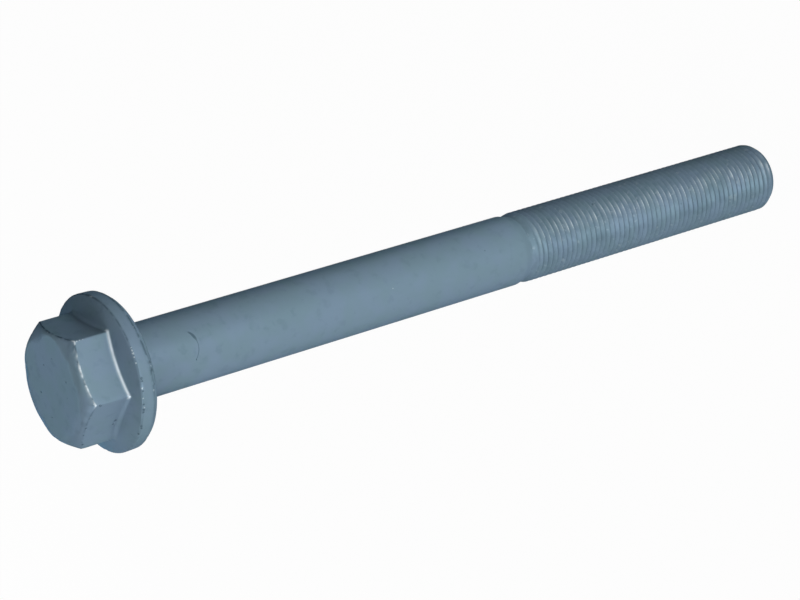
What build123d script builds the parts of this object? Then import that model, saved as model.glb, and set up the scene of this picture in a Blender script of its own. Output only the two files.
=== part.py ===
from build123d import *

import os
from math import radians, sqrt, tan

os.makedirs("parts", exist_ok=True)

# Hex flange bolt, forged in one piece with a rolled fine thread: 5/8-18 UNF by 7 inches.
# Millimetres. Z is the bolt's axis, towards the head, and the bearing face lies in z = 0.
# A corner of the hexagon points along +X.

# Hexagon and the chamfered crown on its top
across_flats = 23.1
head_height = 14.3
hex_corner_radius = 0.4
crown_flat_diameter = 22.2
crown_angle = 38.0
crown_edge_radius = 0.5

# Flange: a rim band with a little draft, and a cone rising from it to the hexagon
flange_diameter = 33.0
flange_bearing_diameter = 31.6
rim_draft = 0.1
rim_height = 3.9
rim_lower_chamfer = 0.6
rim_upper_radius = 0.5
flange_cone_angle = 18.0
hexagon_foot_fillet = 0.9

# Plain shank, measured from the bearing face
shank_diameter = 15.7
shank_length = 101.2
underhead_fillet = 0.8
shoulder_radius = 0.6

# Neck where the thread runs out, and the cone that leads up from it to the thread
neck_diameter = 14.3
neck_length = 1.4
neck_corner_radius = 0.4
runout_angle = 20.0
runout_edge_radius = 0.3

# Thread, drawn as the cylinder over its crests, and the bolt's point
bolt_length = 177.8
thread_diameter = 15.84
point_diameter = 13.96
point_length = 1.5
point_edge_radius = 0.4

shank_radius = shank_diameter / 2
flange_radius = flange_diameter / 2
neck_radius = neck_diameter / 2
thread_radius = thread_diameter / 2
runout_length = (thread_radius - neck_radius) / tan(radians(runout_angle))
thread_start = shank_length + neck_length + runout_length
corner_distance = across_flats / sqrt(3)
cone_slope = tan(radians(flange_cone_angle))
crown_slope = tan(radians(crown_angle))


def rounded(face, corner, radius):
    """The outline with the corner nearest to the given point rounded."""
    nearest = face.vertices().sort_by_distance((corner[0], corner[1], 0))[0]
    return fillet(nearest, radius)


def turned_body():
    """Flange, shank, neck, thread and point as one profile turned about the axis."""
    cone_top = rim_height + flange_radius * cone_slope
    bearing_edge = (flange_bearing_diameter / 2, 0)
    rim_foot = (flange_radius - rim_draft, rim_lower_chamfer)
    rim_top = (flange_radius, rim_height)
    underhead = (shank_radius, 0)
    shoulder = (shank_radius, -shank_length)
    neck_top = (neck_radius, -shank_length)
    neck_foot = (neck_radius, -shank_length - neck_length)
    runout_edge = (thread_radius, -thread_start)
    point_edge = (thread_radius, point_length - bolt_length)
    point_rim = (point_diameter / 2, -bolt_length)

    outline = Polyline(
        (0, cone_top),
        rim_top,
        rim_foot,
        bearing_edge,
        underhead,
        shoulder,
        neck_top,
        neck_foot,
        runout_edge,
        point_edge,
        point_rim,
        (0, -bolt_length),
        close=True,
    )
    profile = make_face(outline)
    profile = rounded(profile, rim_top, rim_upper_radius)
    profile = rounded(profile, underhead, underhead_fillet)
    profile = rounded(profile, shoulder, shoulder_radius)
    profile = rounded(profile, neck_foot, neck_corner_radius)
    profile = rounded(profile, runout_edge, runout_edge_radius)
    profile = rounded(profile, point_rim, point_edge_radius)
    return revolve(Plane.XZ * profile, Axis.Z)


def crowned_hexagon():
    """Hexagonal prism whose top corners are turned away by a cone."""
    hexagon = RegularPolygon(across_flats / 2, 6, major_radius=False)
    hexagon = fillet(hexagon.vertices(), hex_corner_radius)
    prism = extrude(hexagon, head_height)

    crown_radius = crown_flat_diameter / 2
    fall = (corner_distance - crown_radius) * crown_slope
    crown = Polyline(
        (0, 0),
        (corner_distance, 0),
        (corner_distance, head_height - fall),
        (crown_radius, head_height),
        (0, head_height),
        close=True,
    )
    crown_face = rounded(make_face(crown), (crown_radius, head_height), crown_edge_radius)
    return prism & revolve(Plane.XZ * crown_face, Axis.Z)


def flange_bolt():
    """The turned body and the hexagon, joined with a fillet all round the hexagon's foot."""
    body = turned_body()
    hexagon = crowned_hexagon()
    bolt = body + hexagon
    foot = new_edges(body, hexagon, combined=bolt)
    return fillet(foot, hexagon_foot_fillet)


bolt = flange_bolt()
bolt.label = "flange_bolt"
export_step(bolt, "parts/flange_bolt.step")
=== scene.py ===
from math import atan2, ceil, cos, exp, hypot, pi, radians, sin, sqrt, tan

import bmesh
import bpy
from mathutils import Matrix, Vector, noise


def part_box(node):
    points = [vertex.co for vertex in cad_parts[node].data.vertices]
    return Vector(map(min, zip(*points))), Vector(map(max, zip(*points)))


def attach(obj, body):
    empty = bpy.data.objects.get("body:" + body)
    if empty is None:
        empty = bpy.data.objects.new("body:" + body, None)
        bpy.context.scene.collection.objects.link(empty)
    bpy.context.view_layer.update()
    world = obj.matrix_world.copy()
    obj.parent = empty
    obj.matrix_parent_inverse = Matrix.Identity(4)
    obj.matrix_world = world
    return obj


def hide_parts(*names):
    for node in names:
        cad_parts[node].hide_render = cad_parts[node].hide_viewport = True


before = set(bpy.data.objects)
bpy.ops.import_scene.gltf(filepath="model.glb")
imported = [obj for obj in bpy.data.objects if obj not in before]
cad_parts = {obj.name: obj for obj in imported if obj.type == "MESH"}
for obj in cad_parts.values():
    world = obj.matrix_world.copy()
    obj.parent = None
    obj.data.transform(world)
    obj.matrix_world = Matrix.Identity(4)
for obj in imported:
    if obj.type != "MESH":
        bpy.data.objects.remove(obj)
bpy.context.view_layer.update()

mm = 0.001
nodeName = "flange_bolt"
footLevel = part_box(nodeName)[0].z / mm  # the bolt stands on its threaded end
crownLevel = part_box(nodeName)[1].z / mm
halfFace = radians(30)  # from the middle of a hexagon face to its corner
print("frame loaded, bolt from", round(footLevel, 2), "to", round(crownLevel, 2), "mm")


# Bolt, lengths in millimetres and angles in degrees; z = 0 is the bearing face
bolt = {
    "acrossFlats": 23.1,
    "hexCornerRound": 0.4,
    "crownFlatRadius": 11.1,
    "crownAngle": 38,
    "crownFlatRound": 6.0,  # at the corners; the faces leave room for less
    "crownSlopeLeft": 0.2,  # what that rounding leaves of the crown's slope, at the least
    "crownEdgeRound": 0.28,
    "footFillet": 0.9,
    "coneAngle": 18,
    "flangeRadius": 16.5,
    "rimHeight": 3.9,
    "rimDraft": 0.1,
    "rimTopRound": 0.5,
    "rimChamfer": 1.1,
    "rimChamferRound": 0.25,
    "bearingRadius": 15.55,
    "underheadFillet": 0.8,
    "shankRadius": 7.85,
    "shankLength": 101.2,
    "shoulderRun": 1.7,  # length of the slope from the shank down to the neck
    "shoulderRound": 2.6,
    "neckRadius": 7.38,
    "neckLength": 1.95,  # slope included
    "neckRound": 1.0,
    "runoutAngle": 18,
    "runoutRound": 1.8,
    "threadRadius": 7.92,
    "pointRadius": 6.98,
    "pointLength": 1.5,
    "pointRound": 0.4,
    "threadPitch": 1.411,
    "threadDepth": 0.5,
    "threadFadeTurns": 3.0,  # turns below the neck until the groove is full
    "pointFadeTurns": 4.0,  # turns above the point over which the groove gets shallow again
    # outline of one turn, from root over the crest: share of the pitch, share of the depth
    "threadOutline": [
        (-0.5, 1.0), (-0.4, 0.93), (-0.11, 0.13), (-0.05, 0.03),
        (0.0, 0.0), (0.05, 0.03), (0.11, 0.13), (0.4, 0.93),
    ],
    "cornerColumns": 4,  # mesh steps round each hexagon corner
    "faceColumns": 21,  # mesh steps across each hexagon face
    "arcSteps": 5,
    "endRings": 6,
    "weldGap": 0.002,  # vertices closer than this become one
}


def softCorner(before, corner, after, radius, steps):
    # points of the arc that rounds a corner of the profile
    into = (corner - before).normalized()
    out = (after - corner).normalized()
    turn = into.angle_signed(out)  # positive is clockwise
    start = corner - into * radius * tan(abs(turn) / 2)
    inward = Vector((into.y, -into.x)) * (1 if turn > 0 else -1)
    centre = start + inward * radius
    return [
        centre + Matrix.Rotation(-turn * step / steps, 2) @ (start - centre)
        for step in range(steps + 1)
    ]


def traceProfile(corners):
    # corners are (radius from the axis, z, rounding, mesh steps of the run that leads there)
    points = [Vector(corner[:2]) for corner in corners]
    traced = [points[0]]
    for index in range(1, len(corners)):
        rounding, runSteps = corners[index][2:]
        arc = [points[index]]
        if rounding:
            arc = softCorner(*points[index - 1:index + 2], rounding, bolt["arcSteps"])
        runStart = traced[-1]
        for step in range(1, runSteps):
            share = (1 - cos(pi * step / runSteps)) / 2  # closer together near both ends
            traced.append(runStart.lerp(arc[0], share))
        traced.extend(arc)
    return traced


def cornerHalfAngle():
    # half the angle that a rounded hexagon corner takes, seen from the axis
    halfFlat = bolt["acrossFlats"] / 2
    tangentRun = (halfFlat - bolt["hexCornerRound"]) * tan(halfFace)
    return halfFace - atan2(tangentRun, halfFlat)


def columnAngles():
    # angles of the mesh columns, close together at the hexagon's corners
    half = cornerHalfAngle()
    faceSpan = 2 * (halfFace - half)
    angles = []
    for face in range(6):
        corner = radians(60 * face)
        for step in range(bolt["cornerColumns"]):
            angles.append(corner - half + 2 * half * step / bolt["cornerColumns"])
        for step in range(bolt["faceColumns"]):
            angles.append(corner + half + faceSpan * step / bolt["faceColumns"])
    return angles


def wallRadius(angle):
    # distance from the axis to the hexagon's wall, which has a corner at angle 0
    fromCorner = abs((angle + halfFace) % (2 * halfFace) - halfFace)
    halfFlat = bolt["acrossFlats"] / 2
    if fromCorner > cornerHalfAngle():
        return halfFlat / cos(halfFace - fromCorner)
    rounding = bolt["hexCornerRound"]
    centre = (halfFlat - rounding) / cos(halfFace)
    return centre * cos(fromCorner) + sqrt(rounding ** 2 - (centre * sin(fromCorner)) ** 2)


def crownEdgeLevel(wall):
    return crownLevel - (wall - bolt["crownFlatRadius"]) * tan(radians(bolt["crownAngle"]))


def faceFootLevel(wall):
    return bolt["rimHeight"] + (bolt["flangeRadius"] - wall) * tan(radians(bolt["coneAngle"]))


def headCorners(wall):
    # profile from the head's top to the neck, where the hexagon's wall is at this radius
    shoulder = -bolt["shankLength"]
    slope = radians(bolt["crownAngle"])
    crownRun = (wall - bolt["crownFlatRadius"]) / cos(slope)
    flatRound = min(bolt["crownFlatRound"], (crownRun - bolt["crownSlopeLeft"]) / tan(slope / 2))
    return [
        (0, crownLevel, 0, 0),
        (bolt["crownFlatRadius"], crownLevel, flatRound, 16),
        (wall, crownEdgeLevel(wall), bolt["crownEdgeRound"], 3),
        (wall, faceFootLevel(wall), bolt["footFillet"], 10),
        (bolt["flangeRadius"], bolt["rimHeight"], bolt["rimTopRound"], 10),
        (bolt["flangeRadius"] - bolt["rimDraft"], bolt["rimChamfer"], bolt["rimChamferRound"], 8),
        (bolt["bearingRadius"], 0, bolt["rimChamferRound"], 3),
        (bolt["shankRadius"], 0, bolt["underheadFillet"], 6),
        (bolt["shankRadius"], shoulder, bolt["shoulderRound"], 34),
        (bolt["neckRadius"], shoulder - bolt["shoulderRun"], bolt["neckRound"], 2),
        (bolt["neckRadius"], shoulder - bolt["neckLength"], 0, 2),
    ]


def blankCorners():
    # profile of the round bar that the thread is rolled on, from the neck to the point
    neckFoot = -bolt["shankLength"] - bolt["neckLength"]
    rise = (bolt["threadRadius"] - bolt["neckRadius"]) / tan(radians(bolt["runoutAngle"]))
    return [
        (bolt["neckRadius"], neckFoot, 0, 0),
        (bolt["threadRadius"], neckFoot - rise, bolt["runoutRound"], 1),
        (bolt["threadRadius"], footLevel + bolt["pointLength"], bolt["pointRound"], 1),
        (bolt["pointRadius"], footLevel, bolt["pointRound"], 1),
        (0, footLevel, 0, bolt["endRings"]),
    ]


def blankRadius(blank, z):
    for upper, lower in zip(blank, blank[1:]):
        if lower.y <= z <= upper.y and upper.y > lower.y:
            return upper.x + (lower.x - upper.x) * (upper.y - z) / (upper.y - lower.y)
    return blank[0].x


def around(radius, angle, z):
    return Vector((radius * cos(angle), radius * sin(angle), z))


def turned(profile, angle):
    # the profile's points, turned about the axis to this angle
    return [around(spot.x, angle, spot.y) for spot in profile]


def headColumn(angle):
    return turned(traceProfile(headCorners(wallRadius(angle))), angle)


def threadColumn(angle, blank):
    # vertices down the thread, whose rows climb by one pitch in a full turn
    pitch = bolt["threadPitch"]
    top = blank[0].y
    turns = ceil((top - footLevel) / pitch) + 2  # the spare ones lie flat against both ends
    column = []
    for turn in range(-1, turns):
        for share, depth in bolt["threadOutline"]:
            z = top + pitch * (angle / (2 * pi) - turn - share - 0.5)  # share starts at -0.5
            z = min(top, max(footLevel, z))
            grown = min(1.0, (top - z) / (pitch * bolt["threadFadeTurns"]))
            worn = min(1.0, (z - footLevel) / (pitch * bolt["pointFadeTurns"]))
            ridge = bolt["threadRadius"] - bolt["threadDepth"] * depth * grown * worn
            column.append(around(min(ridge, blankRadius(blank, z)), angle, z))
    return column


def weave(mesh, columns, shift=0):
    # faces between neighbouring columns; the last joins the first, which lies some rows lower
    rings = [[mesh.verts.new(place * mm) for place in column] for column in columns]
    for index, ring in enumerate(rings):
        following = rings[(index + 1) % len(rings)]
        step = shift if index == len(rings) - 1 else 0
        for row in range(len(ring) - 1):
            upper = following[max(row - step, 0)]
            lower = following[max(row + 1 - step, 0)]
            corners = list(dict.fromkeys([ring[row], ring[row + 1], lower, upper]))
            mesh.faces.new(corners)


# Wear of head and thread, with painted shade and painted highlights among it; lengths in millimetres,
# azimuths in degrees
wear = {
    "headEnd": -0.5,  # the head's wear stops at this level
    "knockDepth": 0.2,  # small knocks all along the edges
    "knockReach": 0.35,
    "knocksPerMm": 0.6,
    "knockThreshold": 0.16,
    "fineKnocks": 3.4,  # how many times finer the second layer of knocks is
    "fineKnockShare": 0.6,
    "knockSlope": 0.5,  # how far a knock goes along the axis for each millimetre toward it
    "edgeReach": 0.2,  # half width of the line that an edge draws on the plating
    # distances from the rim's lower edges count as these shares, so that they wear wider and the dark line
    # there, partly painted shade, is wider too
    "rimFootShare": 0.6,
    "bearingEdgeShare": 0.8,
    # stain along the head's edges, with painted shade in it
    "edgeStainAndShade": 0.72,
    "edgeShadeSwing": 0.45,  # painted shade: how much more that is on the side away from the lamps, and less opposite
    "shadedSide": -15,  # azimuth at which the edges' painted shade is darkest
    "highlightedFaces": [(-90, 1.0)],  # whose foot gets a painted highlight, with smoother, more metallic plating: face azimuth, share
    "highlightHalfAngle": 31,
    "highlightReach": 0.3,
    "crownHighlight": 0.6,  # share of that painted highlight on the face's crown edge
    "crownBreaks": (1.2, 0.25, 1.9),  # noise that breaks the line: scale per mm, middle, swing
    # crown edge worn lower in the middle of a face: face azimuth, depth
    "wornFaces": [(-90, 0.6), (-150, 0.5), (90, 0.3)],
    "wornFaceRun": 2.6,  # how far the worn part reaches in over the top
    "wornFaceCurve": 1.5,  # 1 is a straight slope
    "wornFaceFoot": 9.5,  # level on the faces where it ends
    "wornFaceRise": 3.0,  # height over which it grows from there
    # thread crests with a painted highlight on the side toward the lamps, in broken lines, and smoother,
    # more metallic plating there
    "crestHighlightAzimuth": -80,
    "crestHalfAngle": 16,
    "crestWander": 8,  # degrees that the lines shift from turn to turn
    "crestWanderPerMm": 1.3,
    "crestHighlight": 0.5,
    "crestReach": 0.06,
    "crestBreaks": (0.5, 0.55, 1.0),
    "crestBreakStretch": 2.2,  # how many times closer the breaks are along the bolt
    "threadStain": 0.11,  # dirt on the whole thread
    "rootDarkening": 0.19,  # and darker toward the root of the groove, added to that
}


def clamp(value):
    return min(1, max(0, value))


def nearness(distance, reach):
    return exp(-(distance / reach) ** 2)


def brokenUp(place, scale, middle, swing):
    return clamp(middle + swing * noise.noise(place * scale))


def offsetFrom(angle, azimuth):
    return (angle - radians(azimuth) + pi) % (2 * pi) - pi


def rimDistance(radius, z):
    # distance from the nearest edge of the flange's rim
    return min(
        hypot(radius - bolt["flangeRadius"], z - bolt["rimHeight"]),
        wear["rimFootShare"] * hypot(radius - bolt["flangeRadius"], z - bolt["rimChamfer"]),
        wear["bearingEdgeShare"] * hypot(radius - bolt["bearingRadius"], z),
    )


def faceWear(angle):
    # how much lower the crown's edge is worn at this angle
    depth = 0
    for azimuth, faceDepth in wear["wornFaces"]:
        offset = offsetFrom(angle, azimuth)
        share = tan(offset) / tan(halfFace) if abs(offset) < halfFace else 1
        depth += faceDepth * (1 - share ** 2)
    return depth


def crownDrop(pastWall, angle, z):
    # what that wear takes off at a place this far out past the hexagon's wall
    run = clamp(pastWall / wear["wornFaceRun"] + 1)
    rise = clamp((z - wear["wornFaceFoot"]) / wear["wornFaceRise"])
    return Vector((0, 0, faceWear(angle) * run ** wear["wornFaceCurve"] * rise))


def faceHighlight(angle):
    # how strong the painted highlight on the foot of the face at this angle is
    shares = [
        share for azimuth, share in wear["highlightedFaces"]
        if abs(offsetFrom(angle, azimuth)) < radians(wear["highlightHalfAngle"])
    ]
    return max(shares, default=0)


def edgeKnock(place, angle, distance):
    # dents the edges toward the axis and away from the nearer end of the head
    coarse = noise.noise(place * wear["knocksPerMm"])
    fine = noise.noise(place * wear["knocksPerMm"] * wear["fineKnocks"])
    rough = max(0.0, coarse + wear["fineKnockShare"] * fine - wear["knockThreshold"])
    slope = wear["knockSlope"] * (1 if place.z < bolt["rimHeight"] / 2 else -1)
    depth = wear["knockDepth"] * rough * nearness(distance, wear["knockReach"])
    return depth * around(-1, angle, slope)


def wearHead(mesh):
    # pushes the head's edges in and notes for the plating where they are, with painted shade on the edges
    # and a painted highlight on one face's foot
    edge = mesh.verts.layers.float.new("edge")
    polishAndHighlight = mesh.verts.layers.float.new("polishAndHighlight")
    wornRadius = bolt["crownFlatRadius"] - wear["wornFaceRun"]
    for vertex in mesh.verts:
        place = vertex.co / mm
        radius = place.xy.length
        if place.z < wear["headEnd"] or radius < wornRadius:
            continue
        angle = atan2(place.y, place.x)
        wall = wallRadius(angle)
        crown = hypot(radius - wall, place.z - crownEdgeLevel(wall))
        foot = hypot(radius - wall, place.z - faceFootLevel(wall))
        distance = min(crown, rimDistance(radius, place.z))
        # edge stain, partly painted shade: darker on the side away from the lamps and along the rim's
        # lower edges
        stainAndShade = wear["edgeStainAndShade"] + wear["edgeShadeSwing"] * cos(angle - radians(wear["shadedSide"]))
        vertex[edge] = stainAndShade * nearness(distance, wear["edgeReach"])
        # painted highlight along the foot of one face and along its crown edge, broken up by noise
        crownHighlight = wear["crownHighlight"] * brokenUp(place, *wear["crownBreaks"])
        highlighted = max(
            nearness(foot, wear["highlightReach"]),
            crownHighlight * nearness(crown, wear["edgeReach"]),
        )
        vertex[polishAndHighlight] = highlighted * faceHighlight(angle)
        knock = edgeKnock(place, angle, distance)
        vertex.co = (place + knock - crownDrop(radius - wall, angle, place.z)) * mm


def wearThread(mesh):
    # notes for the plating how dark the thread is, darker toward the groove's root, and the painted
    # highlight on the crests
    edge = mesh.verts.layers.float["edge"]
    polishAndHighlight = mesh.verts.layers.float["polishAndHighlight"]
    threadTop = -bolt["shankLength"] - bolt["neckLength"]
    for vertex in mesh.verts:
        place = vertex.co / mm
        if threadTop < place.z or place.z < footLevel + bolt["pointLength"]:
            continue
        # painted highlight on the crests, in a band on the side toward the lamps
        wander = noise.noise(Vector((0, 0, place.z * wear["crestWanderPerMm"])))
        offset = offsetFrom(atan2(place.y, place.x), wear["crestHighlightAzimuth"])
        offset += radians(wear["crestWander"]) * wander
        side = nearness(offset, radians(wear["crestHalfAngle"]))
        depth = bolt["threadRadius"] - place.xy.length
        crest = nearness(depth, wear["crestReach"])
        grown = min(1, (threadTop - place.z) / (bolt["threadFadeTurns"] * bolt["threadPitch"]))
        stretched = Vector((place.x, place.y, wear["crestBreakStretch"] * place.z))
        broken = brokenUp(stretched, *wear["crestBreaks"])
        vertex[polishAndHighlight] = wear["crestHighlight"] * side * crest * grown * broken
        vertex[edge] = wear["threadStain"] + wear["rootDarkening"] * min(1, depth / bolt["threadDepth"])


def makeBolt():
    angles = columnAngles()
    blank = traceProfile(blankCorners())
    endFace = blank[-bolt["endRings"] - 1:]
    mesh = bmesh.new()
    weave(mesh, [headColumn(angle) for angle in angles])
    weave(mesh, [threadColumn(angle, blank) for angle in angles], len(bolt["threadOutline"]))
    weave(mesh, [turned(endFace, angle) for angle in angles])
    bmesh.ops.remove_doubles(mesh, verts=mesh.verts, dist=bolt["weldGap"] * mm)
    bmesh.ops.recalc_face_normals(mesh, faces=mesh.faces)
    wearHead(mesh)
    wearThread(mesh)
    for face in mesh.faces:
        face.smooth = True
    data = bpy.data.meshes.new("boltBody")
    mesh.to_mesh(data)
    mesh.free()
    body = bpy.data.objects.new("bolt_body", data)
    bpy.context.scene.collection.objects.link(body)
    return body


noiseMiddle = 0.5  # the values of a Noise texture lie round this


class Wire:
    # a shader socket; sums written with it become Math nodes

    def __init__(self, shader, socket):
        self.shader = shader
        self.socket = socket

    def __add__(self, other):
        return self.shader.math("ADD", self, other)

    def __radd__(self, other):
        return self.shader.math("ADD", other, self)

    def __sub__(self, other):
        return self.shader.math("SUBTRACT", self, other)

    def __rsub__(self, other):
        return self.shader.math("SUBTRACT", other, self)

    def __mul__(self, other):
        return self.shader.math("MULTIPLY", self, other)

    def __rmul__(self, other):
        return self.shader.math("MULTIPLY", other, self)

    def __truediv__(self, other):
        return self.shader.math("DIVIDE", self, other)

    def __rtruediv__(self, other):
        return self.shader.math("DIVIDE", other, self)


class Shader:
    # a material or world under construction

    def __init__(self, owner):
        owner.use_nodes = True
        self.tree = owner.node_tree
        self.tree.nodes.clear()

    def node(self, kind, settings, sockets, output=0):
        made = self.tree.nodes.new(kind)
        for name, value in settings.items():
            setattr(made, name, value)
        for name, value in sockets.items():
            if isinstance(value, Wire):
                self.tree.links.new(value.socket, made.inputs[name])
            else:
                made.inputs[name].default_value = value
        if made.outputs:
            return Wire(self, made.outputs[output])

    def math(self, operation, *values):
        return self.node("ShaderNodeMath", {"operation": operation}, dict(enumerate(values)))

    def attribute(self, name):
        return self.node("ShaderNodeAttribute", {"attribute_name": name}, {}, "Fac")

    def blend(self, mask, first, second):
        # a Mix node's colours are its sockets 6 and 7 and its output 2
        return self.node("ShaderNodeMix", {"data_type": "RGBA"}, {0: mask, 6: first, 7: second}, 2)

    def ramp(self, value, start, full):
        # 0 at start, 1 at full; it falls where full is the smaller one
        return self.node("ShaderNodeMapRange", {"interpolation_type": "SMOOTHSTEP"}, {
            "Value": value, "From Min": start, "From Max": full,
        })

    def grain(self, place, scale, detail=3):
        return self.node("ShaderNodeTexNoise", {}, {"Vector": place, "Scale": scale, "Detail": detail})

    def wander(self, place, scale, reach):
        # the same place pushed about by noise, so that marks get ragged outlines
        noiseColour = self.node("ShaderNodeTexNoise", {}, {"Vector": place, "Scale": scale}, "Color")
        centred = self.node("ShaderNodeVectorMath", {"operation": "SUBTRACT"}, {
            0: noiseColour, 1: [noiseMiddle] * 3,
        })
        return self.node("ShaderNodeVectorMath", {"operation": "MULTIPLY_ADD"}, {
            0: centred, 1: [reach] * 3, 2: place,
        })


def spread(mask, low, high):
    # low where the mask is 0, high where it is 1
    return low + (high - low) * mask


# Marks on the plating, among them painted shade and painted glints: azimuth in degrees, distance from the
# axis, z, half width
marks = {
    "dents": [
        (-105, 16.5, 3.6, 0.3), (-107, 16.5, 3.5, 0.2), (-114, 16.5, 3.7, 0.2), (-124, 16.5, 3.75, 0.25),
        (-128, 16.5, 3.7, 0.3), (-130, 16.5, 3.8, 0.3), (-142, 16.4, 3.8, 0.3), (-144, 16.4, 3.7, 0.25),
        (-150, 16.3, 3.9, 0.25), (-96, 16.2, 0.55, 0.4), (-101.5, 16.2, 0.6, 0.45), (-112, 16.2, 0.5, 0.3),
        (-120.2, 13.1, 11.7, 0.22), (-121.2, 13.1, 11.4, 0.22), (-149, 11.6, 13.3, 0.25),
        (-160, 11.8, 13.3, 0.2), (-174, 12.7, 12.8, 0.3), (-91, 6.05, 14.3, 0.2), (88, 5.5, 14.3, 0.2),
        (40, 16.5, 3.7, 0.4), (118, 16.5, 0.6, 0.5), (20, 12.8, 12.9, 0.3), (75, 11.6, 13.8, 0.3),
        (-151, 11.55, 6.4, 0.3), (-156, 11.6, 6.7, 0.2), (8, 4.9, 14.3, 0.15), (-33, 6.3, 14.3, 0.12),
        (140, 7.0, 14.3, 0.13), (-124, 5.4, 14.3, 0.1), (-116, 7.85, -14.4, 0.16),
        (-84, 7.85, -90.5, 0.16), (-60, 7.9, -123.7, 0.3), (-102.5, 7.9, -147.5, 0.3),
        (-107, 7.9, -157, 0.3), (-135, 7.9, -151.5, 0.35), (70, 7.85, -33, 0.25), (150, 7.85, -71, 0.2),
    ],
    # bright marks, partly rubbed wear and partly painted glints on the rim's top edge and the crown's
    # edges toward the lamps
    "rubsAndGlints": [
        (-74, 11.9, 13.8, 0.2), (-75.5, 11.9, 13.7, 0.15), (-84, 11.65, 13.75, 0.12),
        (-95.5, 11.65, 13.7, 0.2), (-97, 11.65, 13.65, 0.15), (-107, 12.0, 13.6, 0.2),
        (-108, 12.1, 13.5, 0.15), (-118.6, 13.0, 12.75, 0.25), (-119.8, 13.1, 12.6, 0.2),
        (-62, 13.1, 12.7, 0.2), (-60.4, 13.25, 12.0, 0.2), (-60.1, 13.25, 11.4, 0.16),
        (-60.4, 13.25, 10.7, 0.14), (-83, 16.4, 3.85, 0.15), (-85, 16.4, 3.85, 0.2),
        (-87, 16.4, 3.85, 0.25), (-90, 16.4, 3.85, 0.15), (-94, 16.4, 3.85, 0.2),
        (-112, 16.4, 3.8, 0.2), (-119, 16.4, 3.75, 0.15), (-126, 16.4, 3.6, 0.2),
        (-98.8, 16.2, 0.6, 0.2), (-125, 7.9, -120.7, 0.25), (-99.6, 7.9, -168.5, 0.3),
        (-99, 7.85, -64.6, 0.14), (60, 13.0, 12.8, 0.3), (130, 16.4, 3.8, 0.3),
    ],
    # broad faint stains, partly painted shade, as on the crown beside the corners at -60 and -120
    "stainsAndShade": [
        (-62, 12.3, 13.4, 1.0), (-53.5, 12.9, 12.9, 0.8), (-131, 11.8, 13.5, 0.9), (-144, 11.3, 13.9, 0.8),
        (-113, 7.9, -153.5, 2.8), (-118, 7.9, -149, 2.0), (-108, 7.9, -160, 1.8), (-117, 7.9, -123, 1.8),
        (100, 12.3, 13.4, 0.9), (45, 7.85, -60, 2.2),
    ],
    "raggedGrain": 2600,
    "raggedReach": 0.45,  # how far the outlines of the marks wander
    "spotFade": (1.3, 0.5),  # where a mark starts and where it is full, in half widths
    # long curved scratch on the shank under the head, deeper toward one end
    "scratchAzimuth": -94,
    "scratchLevel": -15.5,
    "scratchBend": 7.8,  # millimetres that its ends rise, per radian squared
    "scratchHalfAngle": 24,
    "scratchEndShare": 0.8,  # share of that angle at which its ends begin to fade
    "scratchHalfWidth": 0.17,
    "scratchGrain": 700,
    "scratchRagged": (0.5, 1.5),  # share of the width at the grain's lowest and highest
    "scratchDeepens": (4, 12),  # degrees past its middle between which it gets deeper
    "scratchWidths": (0.7, 1.8),  # share of the width where it is shallow and where deep
    "scratchStrengths": (0.6, 1.0),
    "scratchFade": (1.4, 0.5),  # across it, as for the marks
}


def spotMask(shader, place, spots):
    # 1 on the listed spots, fading at their outlines
    mask = 0.0
    for azimuth, radius, z, halfWidth in spots:
        spot = around(radius, radians(azimuth), z) * mm
        distance = shader.node("ShaderNodeVectorMath", {"operation": "DISTANCE"}, {
            0: place, 1: spot,
        }, "Value")
        start, full = (share * halfWidth * mm for share in marks["spotFade"])
        mask = shader.math("MAXIMUM", shader.ramp(distance, start, full), mask)
    return mask


def scratchMask(shader, place):
    # a thin arc round the front of the shank, ragged and fading at its ends
    x, y, z = (shader.node("ShaderNodeSeparateXYZ", {}, {0: place}, name) for name in "XYZ")
    offset = shader.math("ARCTAN2", y, x) - radians(marks["scratchAzimuth"])
    line = z / mm - (marks["scratchLevel"] + marks["scratchBend"] * offset * offset)
    deeper = shader.ramp(offset, *(radians(angle) for angle in marks["scratchDeepens"]))
    ragged = spread(shader.grain(place, marks["scratchGrain"]), *marks["scratchRagged"])
    width = marks["scratchHalfWidth"] * ragged * spread(deeper, *marks["scratchWidths"])
    across = shader.ramp(shader.math("ABSOLUTE", line) / width, *marks["scratchFade"])
    halfAngle = radians(marks["scratchHalfAngle"])
    fadeStart = marks["scratchEndShare"] * halfAngle
    along = shader.ramp(shader.math("ABSOLUTE", offset), halfAngle, fadeStart)
    return across * spread(deeper, *marks["scratchStrengths"]) * along


def markMasks(shader, place):
    ragged = shader.wander(place, marks["raggedGrain"], marks["raggedReach"] * mm)
    masks = {kind: spotMask(shader, ragged, marks[kind]) for kind in ("dents", "rubsAndGlints", "stainsAndShade")}
    masks["scratch"] = scratchMask(shader, place)
    return masks


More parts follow.
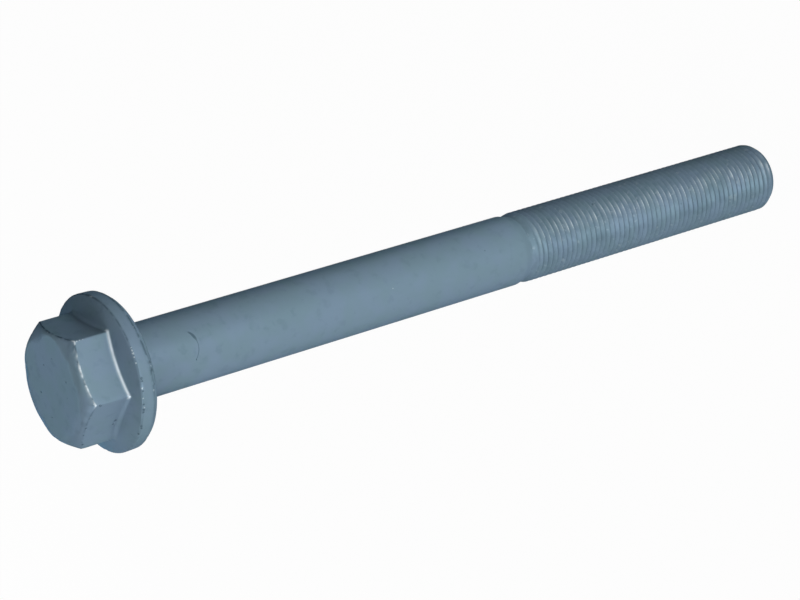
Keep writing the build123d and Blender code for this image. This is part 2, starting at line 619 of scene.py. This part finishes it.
# Zinc plate on the whole bolt; colours are linear red, green, blue
zinc = {
    "colour": (0.164, 0.251, 0.314, 1),
    "paleColour": (0.173, 0.254, 0.341, 1),
    # the dark colour serves stains, marks and painted shade alike; the first bright one rubs and painted
    # glints, the second painted highlights
    "stainAndShadeColour": (0.053, 0.094, 0.128, 1),
    "rubAndGlintColour": (0.5, 0.6, 0.66, 1),
    "highlightColour": (0.82, 0.91, 0.96, 1),
    "grazingColour": (0.1, 0.2, 0.3, 1),
    # how fine each kind of noise is
    "mottlingScale": 180,
    "smudgeScale": 430,
    "speckleScale": 700,
    "grainScale": 1600,
    # noise values between which each of these sets in
    "paleFade": (0.35, 0.65),
    "smudgeFade": (0.54, 0.7),
    "edgeStainAndShadeFade": (0.25, 0.55),
    "edgeRubFade": (0.64, 0.7),
    # how much of the plating's colour each of these hides
    "smudgeShare": 0.13,
    "stainAndShadeShare": 0.2,
    "edgeStainAndShadeShare": 0.88,
    "edgeRubShare": 0.7,
    "rubAndGlintShare": 0.7,
    "dentShare": 0.6,
    "scratchShare": 0.75,
    "highlightShares": (0.68, 1.28),  # of the painted highlight, at the speckle's lowest and highest
    "metallic": 0.15,
    "highlightMetallic": 0.5,  # added under the painted highlight
    "roughness": 0.34,
    "mottledRoughness": 0.06,  # how much it changes with the patches of colour
    "highlightRoughness": 0.1,  # taken off under the painted highlight
    "specular": 0.0,
    "grainHeight": 0.004,  # millimetres
    "dentDepth": 0.12,
}


def platingColour(shader, place, mottling, speckle, polishAndHighlight, masks):
    # pale patches in the plating's own colour first, then the stains, painted shade, rubs, painted glints,
    # painted highlights and marks that lie on it
    edge = shader.attribute("edge")
    smudges = shader.ramp(shader.grain(place, zinc["smudgeScale"]), *zinc["smudgeFade"])
    edgeStainAndShade = edge * shader.ramp(speckle, *zinc["edgeStainAndShadeFade"])
    edgeRub = edge * shader.ramp(speckle, *zinc["edgeRubFade"])
    layers = [
        (shader.ramp(mottling, *zinc["paleFade"]), "paleColour"),
        (smudges * zinc["smudgeShare"], "stainAndShadeColour"),
        # broad stains, partly painted shade
        (masks["stainsAndShade"] * zinc["stainAndShadeShare"], "stainAndShadeColour"),
        # edge stain, partly painted shade
        (edgeStainAndShade * zinc["edgeStainAndShadeShare"], "stainAndShadeColour"),
        (edgeRub * zinc["edgeRubShare"], "rubAndGlintColour"),
        # painted highlight on one face's foot and crown edge and on the thread's crests
        (polishAndHighlight, "highlightColour"),
        # rubbed marks and painted glints
        (masks["rubsAndGlints"] * zinc["rubAndGlintShare"], "rubAndGlintColour"),
        (masks["dents"] * zinc["dentShare"], "stainAndShadeColour"),
        (masks["scratch"] * zinc["scratchShare"], "stainAndShadeColour"),
    ]
    colour = zinc["colour"]
    for mask, layerColour in layers:
        colour = shader.blend(mask, colour, zinc[layerColour])
    return colour


def makeZincPlate():
    material = bpy.data.materials.new("zincPlate")
    shader = Shader(material)
    place = shader.node("ShaderNodeTexCoord", {}, {}, "Object")
    mottling = shader.grain(place, zinc["mottlingScale"])
    speckle = shader.grain(place, zinc["speckleScale"], detail=2)
    fineGrain = shader.grain(place, zinc["grainScale"], detail=2)
    masks = markMasks(shader, place)
    polishAndHighlight = shader.attribute("polishAndHighlight") * spread(speckle, *zinc["highlightShares"])
    patches = zinc["mottledRoughness"] * (mottling - noiseMiddle)
    height = zinc["grainHeight"] * fineGrain - zinc["dentDepth"] * masks["dents"]
    surface = shader.node("ShaderNodeBsdfPrincipled", {}, {
        "Base Color": platingColour(shader, place, mottling, speckle, polishAndHighlight, masks),
        "Metallic": zinc["metallic"] + zinc["highlightMetallic"] * polishAndHighlight,
        "Roughness": zinc["roughness"] + patches - zinc["highlightRoughness"] * polishAndHighlight,
        "Specular IOR Level": zinc["specular"],
        "Specular Tint": zinc["grazingColour"],
        "Normal": shader.node("ShaderNodeBump", {}, {"Distance": mm, "Height": height}),
    })
    shader.node("ShaderNodeOutputMaterial", {}, {"Surface": surface})
    return material


# Studio: lengths in metres, azimuths in degrees from +X toward +Y, heights above the floor
studio = {
    "floorRadius": 4.0,
    "floorSides": 96,
    "floorPaint": (0.65, 0.65, 0.65, 1),
    "floorGlow": 0.97,  # share of plain white in what camera and metal see of the floor
    "lamps": {
        "keySoftbox": {
            "azimuth": -120, "reach": 0.886, "height": 0.274, "aimHeight": 0.118,
            "size": (0.4, 0.4), "power": 3.8, "colour": (1.0, 0.98, 0.97),
        },
        "lowSoftbox": {
            "azimuth": -90, "reach": 0.42, "height": 0.063, "aimHeight": 0.138,
            "size": (0.3, 0.11), "power": 0.49, "colour": (1.0, 0.98, 0.94),
        },
        "backSoftbox": {
            "azimuth": 90, "reach": 0.728, "height": 0.677, "aimHeight": 0.148,
            "size": (0.4, 0.25), "power": 0.98, "colour": (1.0, 0.98, 0.97),
        },
        "sideSoftbox": {
            "azimuth": -170, "reach": 0.579, "height": 0.837, "aimHeight": 0.148,
            "size": (0.5, 0.4), "power": 3.0, "colour": (1.0, 0.98, 0.97),
        },
        "edgeStrip": {
            "azimuth": -88, "reach": 0.459, "height": 0.833, "aimHeight": 0.183,
            "size": (0.25, 0.5), "power": 0.5, "colour": (1.0, 0.97, 0.95),
        },
        "rearSoftbox": {
            "azimuth": 92, "reach": 0.8, "height": 0.17, "aimHeight": 0.1,
            "size": (0.4, 0.3), "power": 2.6, "colour": (1.0, 0.98, 0.97),
        },
        # lies on the floor and shines straight up
        "floorPanel": {
            "azimuth": -54, "reach": 0.175, "height": 0.01, "aimReach": 0.17, "aimHeight": 1,
            "size": (0.28, 0.27), "power": 0.09, "colour": (0.95, 1.0, 0.97),
        },
    },
}
black = (0, 0, 0, 1)
white = (1, 1, 1, 1)


def seenPlainly(shader):
    # 1 for rays that show the background itself: to the camera, off metal, through glass
    toCamera, offMetal, throughGlass = (
        shader.node("ShaderNodeLightPath", {}, {}, name)
        for name in ("Is Camera Ray", "Is Glossy Ray", "Is Transmission Ray")
    )
    return shader.math("MINIMUM", toCamera + offMetal + throughGlass, 1)


def makeFloor():
    material = bpy.data.materials.new("paleFloor")
    shader = Shader(material)
    paint = shader.node("ShaderNodeBsdfDiffuse", {}, {"Color": studio["floorPaint"]})
    glow = shader.node("ShaderNodeEmission", {}, {"Color": white, "Strength": 1})
    surface = shader.node("ShaderNodeMixShader", {}, {
        0: studio["floorGlow"] * seenPlainly(shader), 1: paint, 2: glow,
    })
    shader.node("ShaderNodeOutputMaterial", {}, {"Surface": surface})
    mesh = bmesh.new()
    bmesh.ops.create_circle(
        mesh, cap_ends=True, segments=studio["floorSides"], radius=studio["floorRadius"],
    )
    bmesh.ops.translate(mesh, verts=mesh.verts, vec=(0, 0, footLevel * mm))
    data = bpy.data.meshes.new("studioFloor")
    mesh.to_mesh(data)
    mesh.free()
    data.materials.append(material)
    floor = bpy.data.objects.new("studioFloor", data)
    bpy.context.scene.collection.objects.link(floor)
    return floor


def makeWorld():
    # white where it is seen, but no light on the bolt, which comes from the lamps
    world = bpy.data.worlds.new("studioWorld")
    shader = Shader(world)
    unlit = shader.node("ShaderNodeBackground", {}, {"Color": black})
    backdrop = shader.node("ShaderNodeBackground", {}, {"Color": white, "Strength": 1})
    surface = shader.node("ShaderNodeMixShader", {}, {
        0: seenPlainly(shader), 1: unlit, 2: backdrop,
    })
    shader.node("ShaderNodeOutputWorld", {}, {"Surface": surface})
    bpy.context.scene.world = world


def hangLamp(name, lamp):
    light = bpy.data.lights.new(name, "AREA")
    light.shape = "RECTANGLE"
    light.size, light.size_y = lamp["size"]
    light.energy = lamp["power"]
    light.color = lamp["colour"]
    softbox = bpy.data.objects.new(name, light)
    floorLevel = footLevel * mm
    azimuth = radians(lamp["azimuth"])
    aim = around(lamp.get("aimReach", 0), azimuth, floorLevel + lamp["aimHeight"])
    softbox.location = around(lamp["reach"], azimuth, floorLevel + lamp["height"])
    softbox.rotation_euler = (softbox.location - aim).to_track_quat("Z", "Y").to_euler()
    softbox.visible_camera = False
    bpy.context.scene.collection.objects.link(softbox)


# Camera of the photograph: it looks down on the standing bolt and is rolled onto its side
camera = {
    "aim": (-0.003568, 0.000057, -0.070645),
    "azimuth": -93.119,
    "elevation": 34.165,
    "distance": 0.572333,
    "roll": 107.055,
    "lens": 119.989,
    "clipStart": 0.01,
}


def makeCamera():
    data = bpy.data.cameras.new("photoCamera")
    data.lens = camera["lens"]
    data.clip_start = camera["clipStart"]
    elevation = radians(camera["elevation"])
    away = around(cos(elevation), radians(camera["azimuth"]), sin(elevation))
    upright = away.to_track_quat("Z", "Y").to_matrix().to_4x4()
    eye = bpy.data.objects.new("photoCamera", data)
    eye.matrix_world = (
        Matrix.Translation(Vector(camera["aim"]) + away * camera["distance"])
        @ upright
        @ Matrix.Rotation(radians(-camera["roll"]), 4, "Z")
    )
    bpy.context.scene.collection.objects.link(eye)
    bpy.context.scene.camera = eye


body = makeBolt()
print("bolt body made,", len(body.data.polygons), "faces")
body.data.materials.append(makeZincPlate())
print("zinc plate made")
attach(body, "root")
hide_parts(nodeName)

makeWorld()
makeFloor()
for lampName, lamp in studio["lamps"].items():
    hangLamp(lampName, lamp)
makeCamera()
bpy.context.scene.view_settings.view_transform = "Standard"
print("studio ready")
